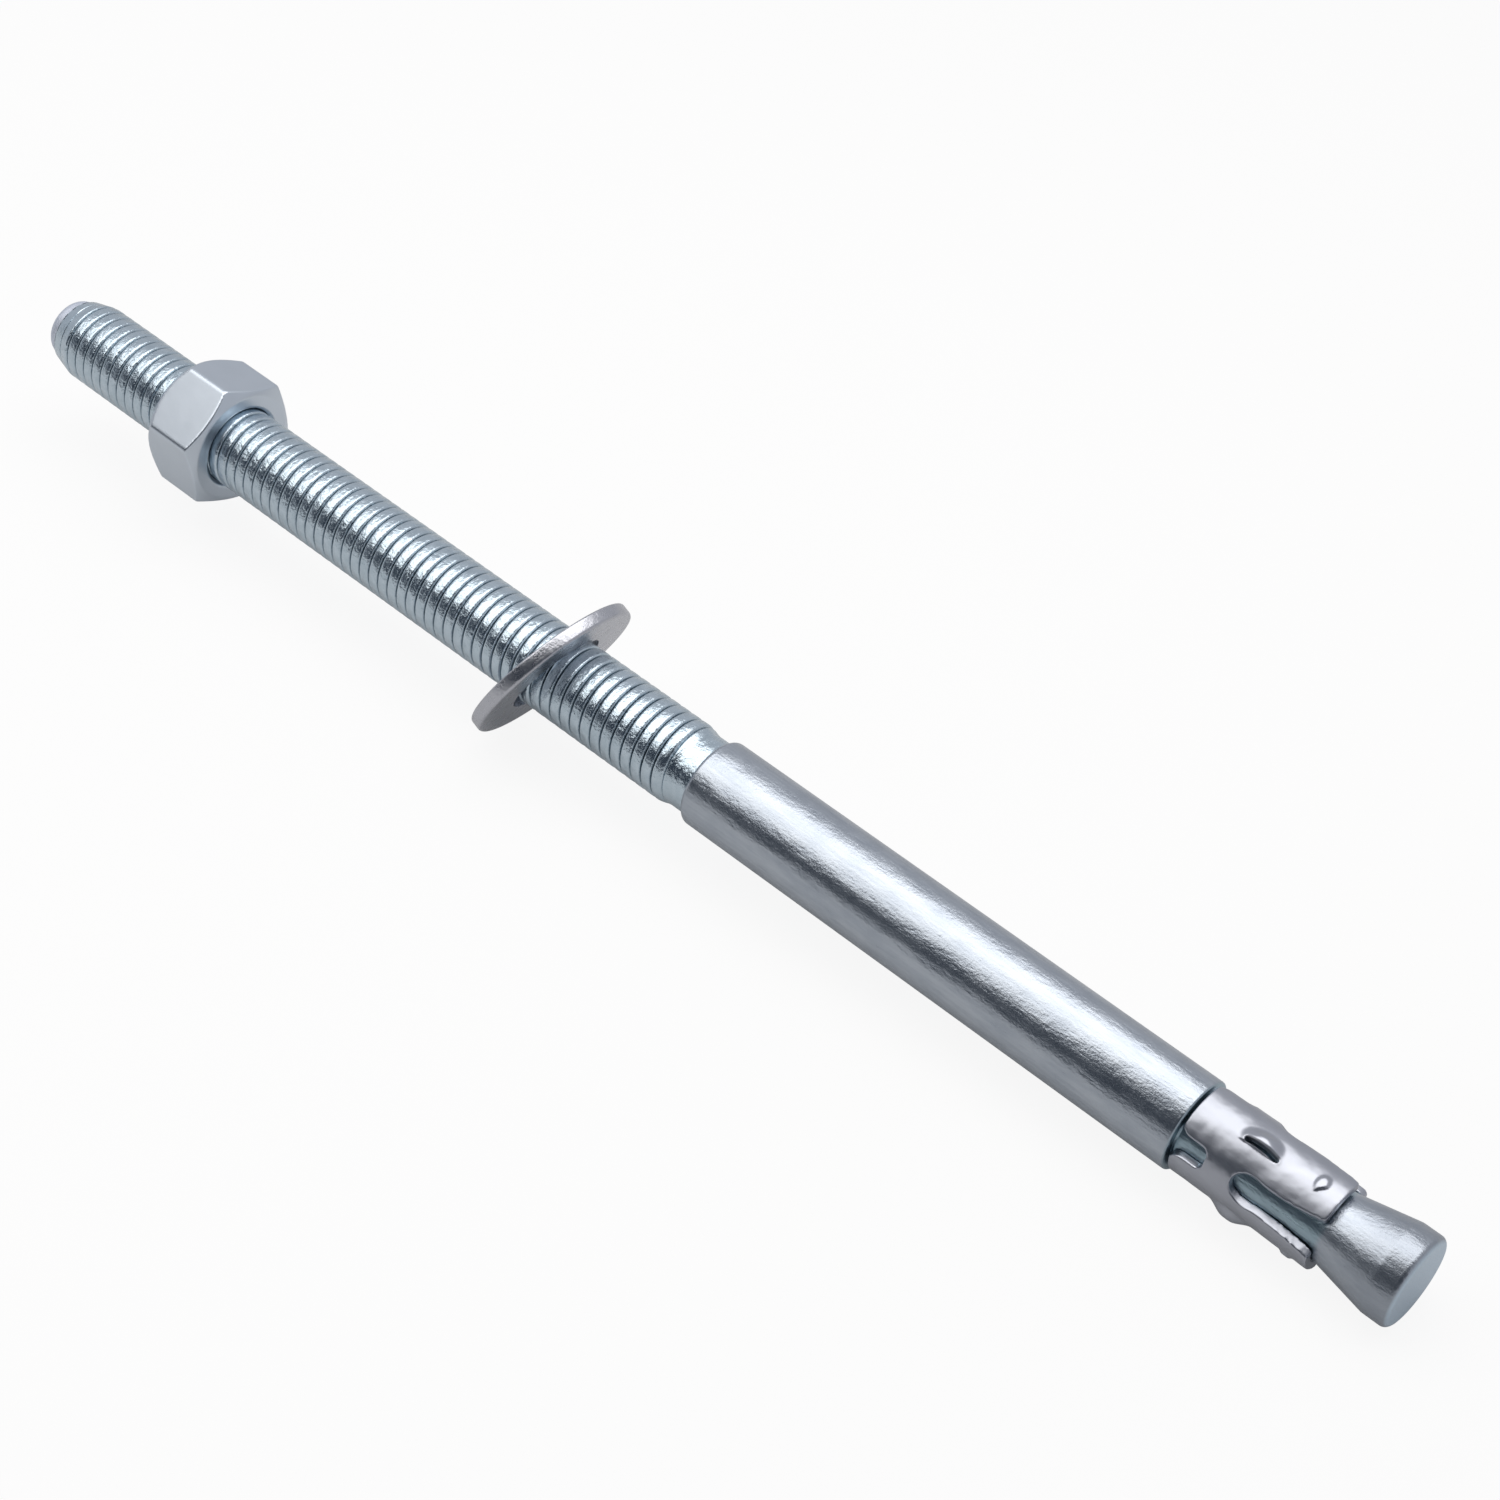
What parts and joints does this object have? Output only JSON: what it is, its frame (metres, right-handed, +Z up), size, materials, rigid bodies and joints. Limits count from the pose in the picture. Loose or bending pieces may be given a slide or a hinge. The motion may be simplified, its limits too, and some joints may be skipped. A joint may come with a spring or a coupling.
{
  "type": "wedge anchor",
  "caption": "Wedge anchor (through bolt) for concrete: long threaded stud with a cone end, slotted expansion clip, flat washer and hex nut.",
  "frame": {"origin": "centre of the bounding box in plan, at the level of the surface it lies on", "axes": "+X along the anchor towards its cone end, +Z up; the anchor lies on its washer's rim and its cone end, so its axis slopes down by 2.2 degrees towards +X"},
  "size_m": [0.2542, 0.027, 0.0257],
  "materials": {
    "stud": "bright zinc plating, satin, blue-white",
    "clip": "bright zinc plating, polished by rolling",
    "washer": "zinc plating, dull satin",
    "nut": "zinc plating, smooth satin"
  },
  "bodies": {
    "stud": {"stud": "stud"},
    "clip": {"expansion_clip": "clip"},
    "washer": {"flat_washer": "washer"},
    "nut": {"hex_nut": "nut"}
  },
  "joints": [
    {"name": "clip_spin", "type": "hinge", "parent": "stud", "child": "clip", "pos_m": [0.10437, 0, 0.00745], "axis": [0.9993, 0, -0.0387], "continuous": true},
    {"name": "washer_slide", "type": "slide", "parent": "stud", "child": "washer", "axis": [0.9993, 0, -0.0387], "range_m": [-0.02931, 0.0254]},
    {"name": "nut_travel", "type": "slide", "parent": "stud", "child": "nut", "axis": [0.9993, 0, -0.0387], "range_m": [-0.02149, 0.02931]}
  ]
}
